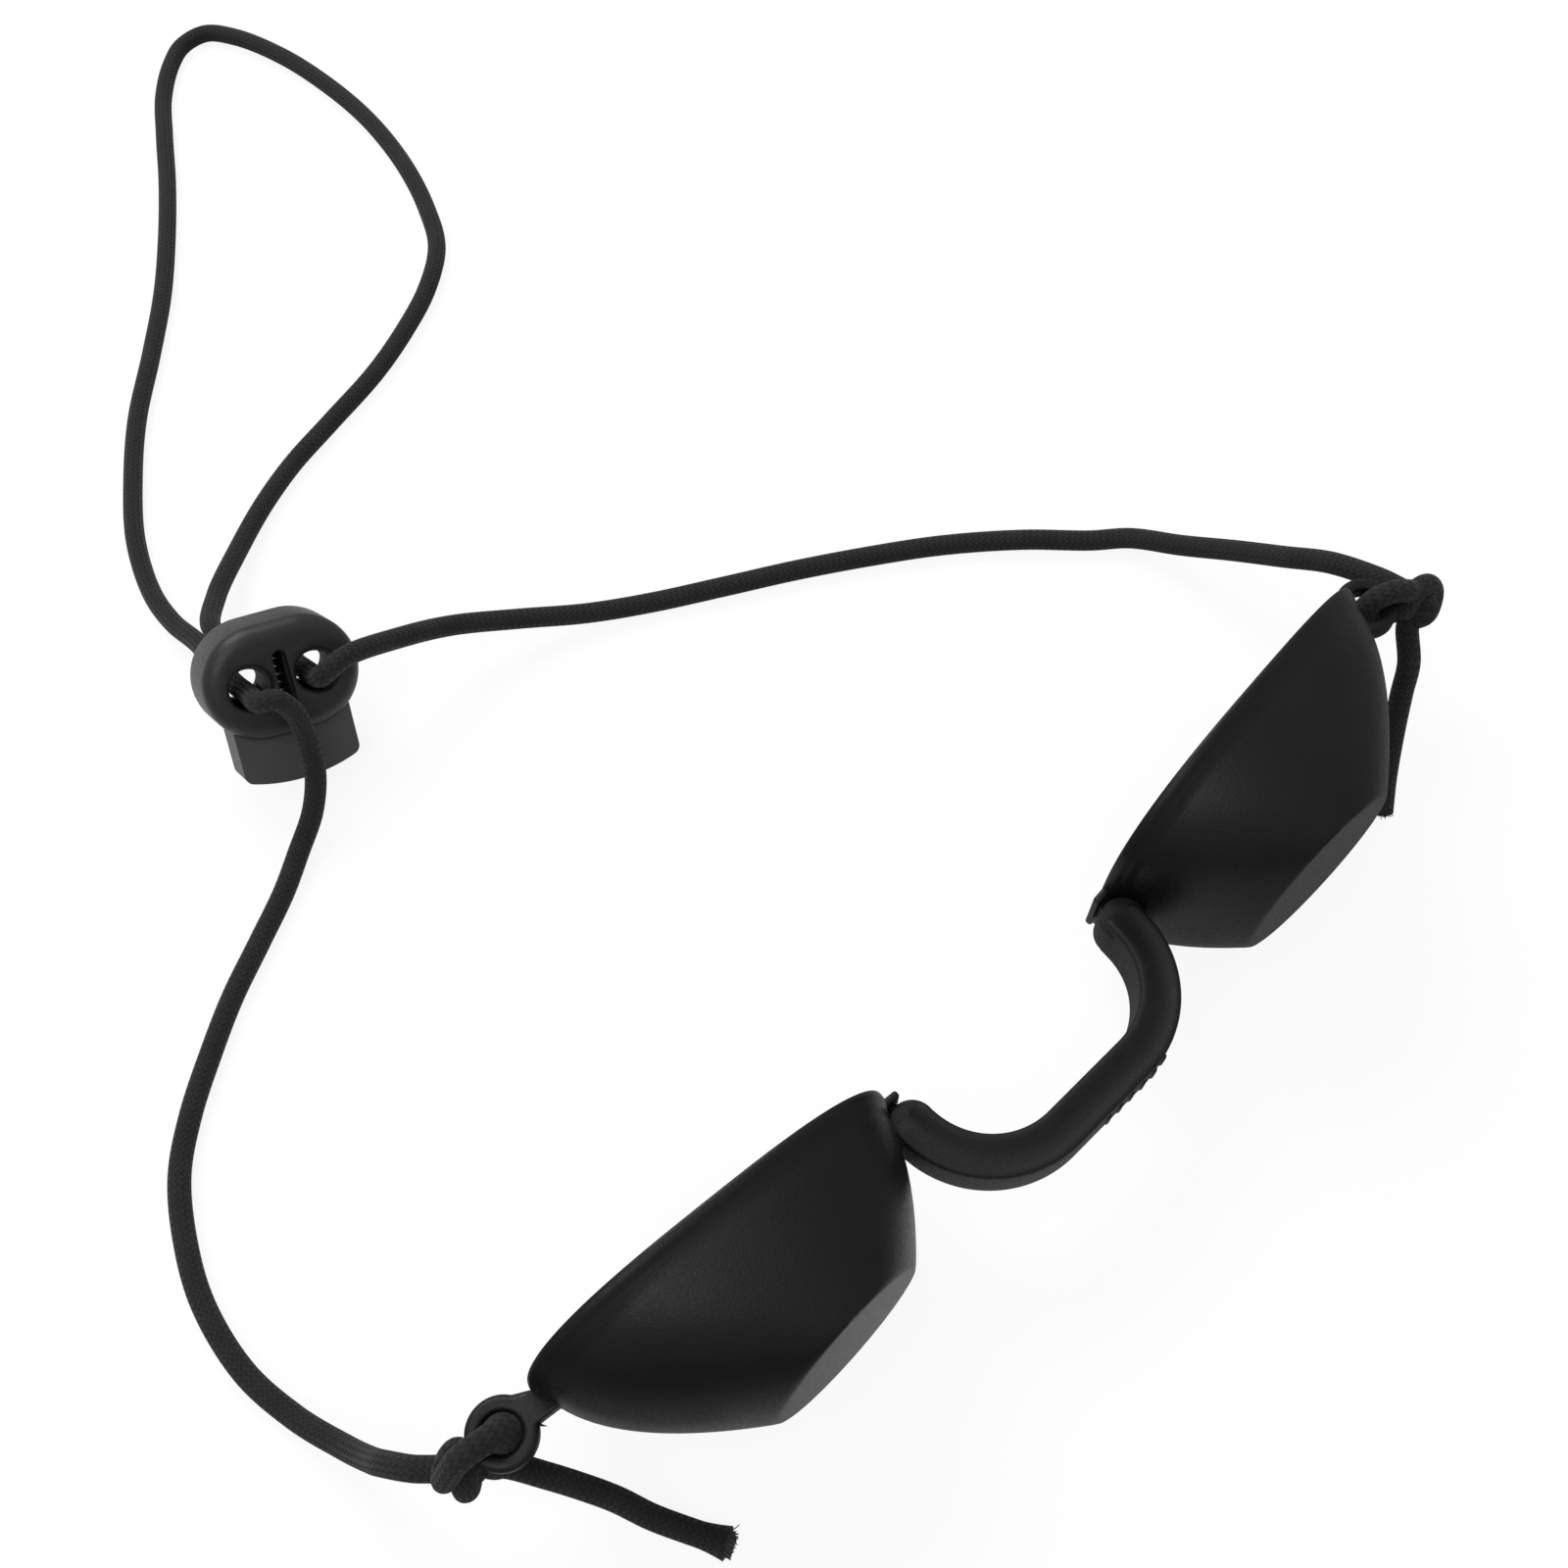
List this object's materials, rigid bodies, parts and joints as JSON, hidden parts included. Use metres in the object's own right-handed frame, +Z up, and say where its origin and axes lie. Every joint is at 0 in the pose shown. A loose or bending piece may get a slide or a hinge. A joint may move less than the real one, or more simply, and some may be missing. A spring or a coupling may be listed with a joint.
{
  "type": "laser safety eye patch",
  "caption": "Black laser safety eye patch: opaque eye cups, flexible nose bridge and elastic cord with a spring cord lock.",
  "frame": {"origin": "middle of the goggles' footprint on the table, without the cord and its lock", "axes": "+X across the face to the right as seen from the front, -Y the way the blank fronts face, +Z up"},
  "size_m": [0.1526, 0.2316, 0.0366],
  "materials": {
    "cup_plastic": "satin, moulded",
    "bridge_rubber": "soft matte",
    "cord_fabric": "braided sleeve over elastic",
    "lock_plastic": "satin, moulded",
    "spring_steel": "drawn wire"
  },
  "bodies": {
    "bridge_body": {"nose_bridge": "bridge_rubber", "left_cord": "cord_fabric", "right_cord": "cord_fabric", "cord_loop": "cord_fabric", "lock_body": "lock_plastic", "lock_spring": "spring_steel"},
    "left_eye": {"left_cup": "cup_plastic", "left_knot": "cord_fabric", "left_tail": "cord_fabric"},
    "right_eye": {"right_cup": "cup_plastic", "right_knot": "cord_fabric", "right_tail": "cord_fabric"},
    "plunger_body": {"lock_plunger": "lock_plastic"}
  },
  "joints": [
    {"name": "left_flex", "type": "hinge", "parent": "bridge_body", "child": "left_eye", "pos_m": [-0.01552, 0.00129, 0.01749], "axis": [0, -0.1392, 0.9903], "range_deg": [-8, 8], "stiffness_Nm_per_rad": 0.03, "deforming": ["left_cord"]},
    {"name": "right_flex", "type": "hinge", "parent": "bridge_body", "child": "right_eye", "pos_m": [0.01552, 0.00129, 0.01749], "axis": [0, -0.1392, 0.9903], "range_deg": [-8, 8], "stiffness_Nm_per_rad": 0.03, "deforming": ["right_cord"]},
    {"name": "plunger_press", "type": "slide", "parent": "bridge_body", "child": "plunger_body", "axis": [0.3675, 0.51, 0.7777], "range_m": [0, 0.0025], "stiffness_N_per_m": 600, "springref_m": -0.004, "deforming": ["lock_spring"]}
  ]
}
